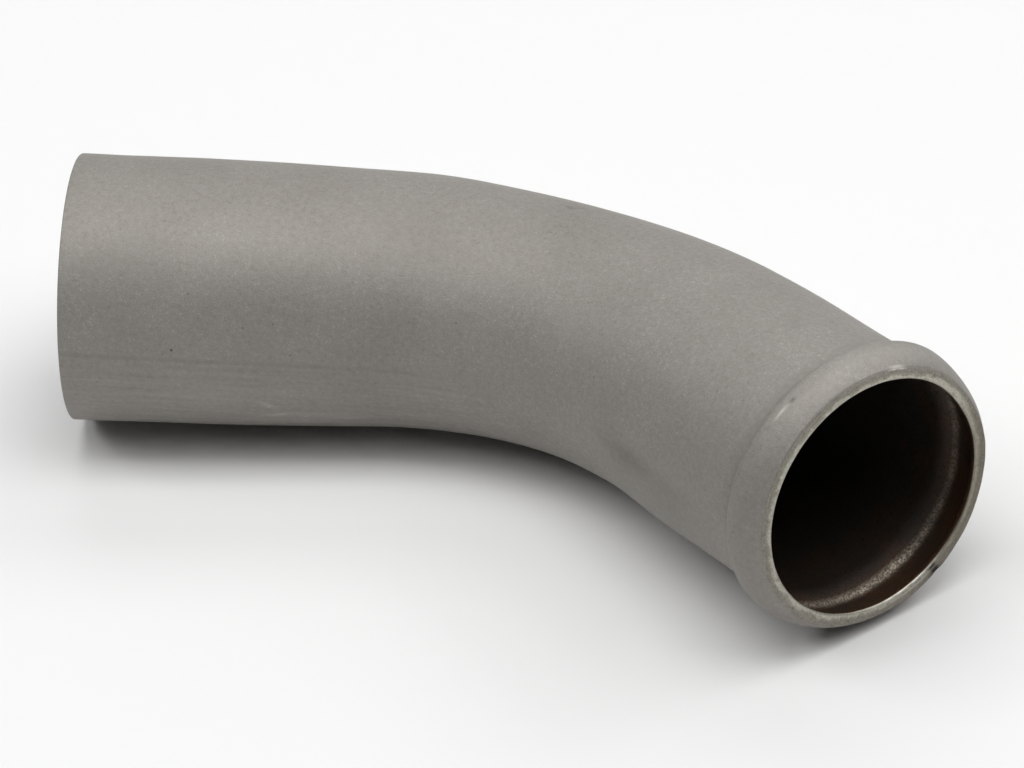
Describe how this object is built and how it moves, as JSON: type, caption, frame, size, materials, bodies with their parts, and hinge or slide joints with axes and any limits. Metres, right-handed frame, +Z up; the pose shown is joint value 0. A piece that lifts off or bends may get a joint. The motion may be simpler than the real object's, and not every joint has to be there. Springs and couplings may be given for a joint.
{
  "type": "air cleaner vent tube",
  "caption": "Short bent steel vent tube for an engine air cleaner, with a plain cut end, a gentle bend and a rolled hose bead at the mouth.",
  "frame": {"origin": "centre of the plain cut end", "axes": "+Z up with the tube lying at rest, +X along the plain leg towards the bend, seen from above, and the beaded leg turning towards -Y"},
  "size_m": [0.0879, 0.0545, 0.0279],
  "materials": {
    "blasted_steel": "grit blasted, matte"
  },
  "bodies": {
    "root": {"vent_tube": "blasted_steel"}
  },
  "joints": []
}
